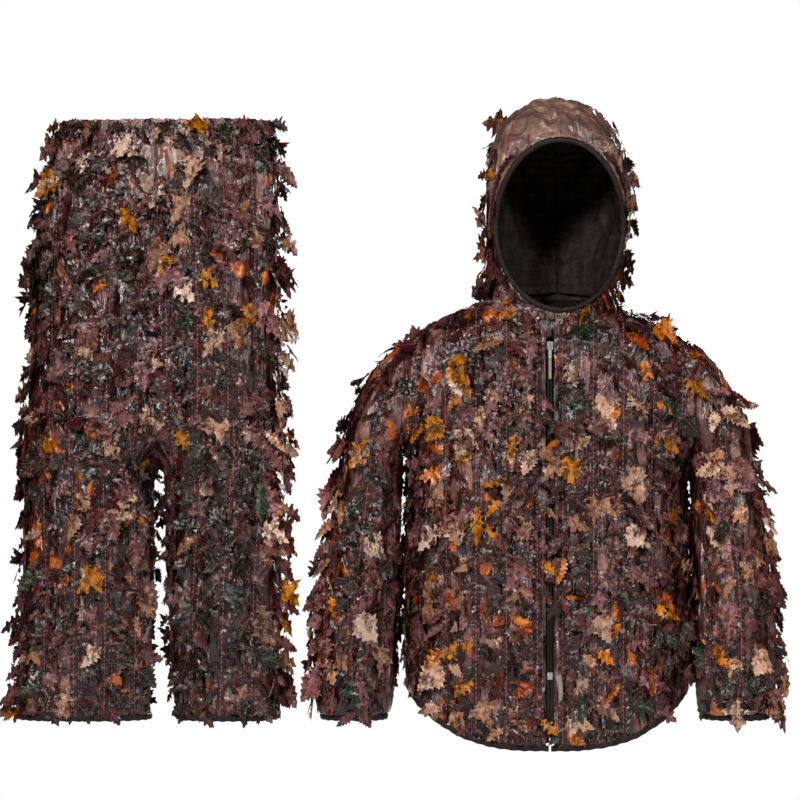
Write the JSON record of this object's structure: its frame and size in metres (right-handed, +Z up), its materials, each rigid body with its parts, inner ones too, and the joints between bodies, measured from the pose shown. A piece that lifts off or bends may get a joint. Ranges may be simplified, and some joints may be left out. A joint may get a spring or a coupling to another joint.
{
  "type": "ghillie suit",
  "caption": "Leafy camouflage suit: hooded jacket with full front zip and elastic cuffs, and elastic-waist trousers, covered in sewn rows of cut cloth leaves.",
  "frame": {"origin": "the hanging point inside the short strap loop at the back of the jacket's neck", "axes": "+X to the wearer's left, along the row of the two garments; -Y to the front; +Z up"},
  "size_m": [1.2581, 0.2668, 1.079],
  "materials": {
    "camo_satin": "printed satin polyester in mottled dark brown, taupe, rust and dark green, crinkled, with small bright glints",
    "leaf_cloth": "heat-cut printed leaves in brown, taupe, orange, rust and burgundy with darker veins, satin sheen",
    "elastic_binding": "matt near-black elastic bias binding with fine cross ribs",
    "zip_tape": "dark woven zip tape, herringbone weave",
    "zip_metal": "bright nickel-plated metal, slightly worn on the edges",
    "pale_webbing": "narrow pale grey-beige woven tape",
    "lining": "dark green-black lining cloth with a dull sheen"
  },
  "bodies": {
    "root": {"jacket_front_left": "camo_satin", "jacket_front_right": "camo_satin", "jacket_back": "camo_satin", "jacket_hem_binding": "elastic_binding", "neck_band": "camo_satin", "hang_loop": "pale_webbing", "throat_tab": "lining", "zip_tape_left": "zip_tape", "zip_teeth_left": "zip_metal", "zip_tape_right": "zip_tape", "zip_teeth_right": "zip_metal", "zip_retainer_box": "zip_metal", "leaf_row_front_left_1": "leaf_cloth", "leaf_row_front_left_2": "leaf_cloth", "leaf_row_front_left_3": "leaf_cloth", "leaf_row_front_right_1": "leaf_cloth", "leaf_row_front_right_2": "leaf_cloth", "leaf_row_front_right_3": "leaf_cloth", "leaf_row_back_1": "leaf_cloth", "leaf_row_back_2": "leaf_cloth", "leaf_row_back_3": "leaf_cloth", "leaf_row_back_4": "leaf_cloth", "trouser_rise_front": "camo_satin", "trouser_rise_back": "camo_satin", "waistband": "camo_satin", "leaf_row_rise_front_1": "leaf_cloth", "leaf_row_rise_front_2": "leaf_cloth", "leaf_row_rise_back_1": "leaf_cloth", "leaf_row_rise_back_2": "leaf_cloth"},
    "hood": {"hood_left": "camo_satin", "hood_right": "camo_satin", "face_binding": "elastic_binding", "leaf_row_hood_back_1": "leaf_cloth", "leaf_row_hood_back_2": "leaf_cloth", "leaf_row_hood_side_1": "leaf_cloth", "leaf_row_hood_side_2": "leaf_cloth"},
    "sleeve_left": {"sleeve_left": "camo_satin", "cuff_binding_left": "elastic_binding", "leaf_row_sleeve_left_front_1": "leaf_cloth", "leaf_row_sleeve_left_back_1": "leaf_cloth"},
    "sleeve_right": {"sleeve_right": "camo_satin", "cuff_binding_right": "elastic_binding", "leaf_row_sleeve_right_front_1": "leaf_cloth", "leaf_row_sleeve_right_back_1": "leaf_cloth"},
    "zip_slider": {"zip_slider": "zip_metal"},
    "zip_pull": {"zip_pull": "zip_metal", "zip_pull_strip": "pale_webbing"},
    "leg_left": {"leg_left_front": "camo_satin", "leg_left_back": "camo_satin", "leg_hem_binding_left": "elastic_binding", "leaf_row_leg_left_front_1": "leaf_cloth", "leaf_row_leg_left_front_2": "leaf_cloth", "leaf_row_leg_left_back_1": "leaf_cloth"},
    "leg_right": {"leg_right_front": "camo_satin", "leg_right_back": "camo_satin", "leg_hem_binding_right": "elastic_binding", "leaf_row_leg_right_front_1": "leaf_cloth", "leaf_row_leg_right_front_2": "leaf_cloth", "leaf_row_leg_right_back_1": "leaf_cloth"}
  },
  "joints": [
    {"name": "hood_tip", "type": "hinge", "parent": "root", "child": "hood", "pos_m": [0, 0.014, 0.002], "axis": [-1, 0, 0], "range_deg": [0, 40]},
    {"name": "sleeve_left_swing", "type": "hinge", "parent": "root", "child": "sleeve_left", "pos_m": [0.3, -0.09, -0.172], "axis": [-1, 0, 0], "range_deg": [-15, 45]},
    {"name": "sleeve_right_swing", "type": "hinge", "parent": "root", "child": "sleeve_right", "pos_m": [-0.3, -0.09, -0.172], "axis": [-1, 0, 0], "range_deg": [-15, 45]},
    {"name": "zip_slide", "type": "slide", "parent": "root", "child": "zip_slider", "axis": [0, 0, -1], "range_m": [0, 0.526]},
    {"name": "zip_pull_flip", "type": "hinge", "parent": "zip_slider", "child": "zip_pull", "pos_m": [0, -0.20805, -0.09], "axis": [-1, 0, 0], "range_deg": [0, 165]},
    {"name": "leg_left_swing", "type": "hinge", "parent": "root", "child": "leg_left", "pos_m": [-0.54, -0.086, -0.237], "axis": [-1, 0, 0], "range_deg": [-25, 45]},
    {"name": "leg_right_swing", "type": "hinge", "parent": "root", "child": "leg_right", "pos_m": [-0.765, -0.086, -0.237], "axis": [-1, 0, 0], "range_deg": [-25, 45]}
  ]
}
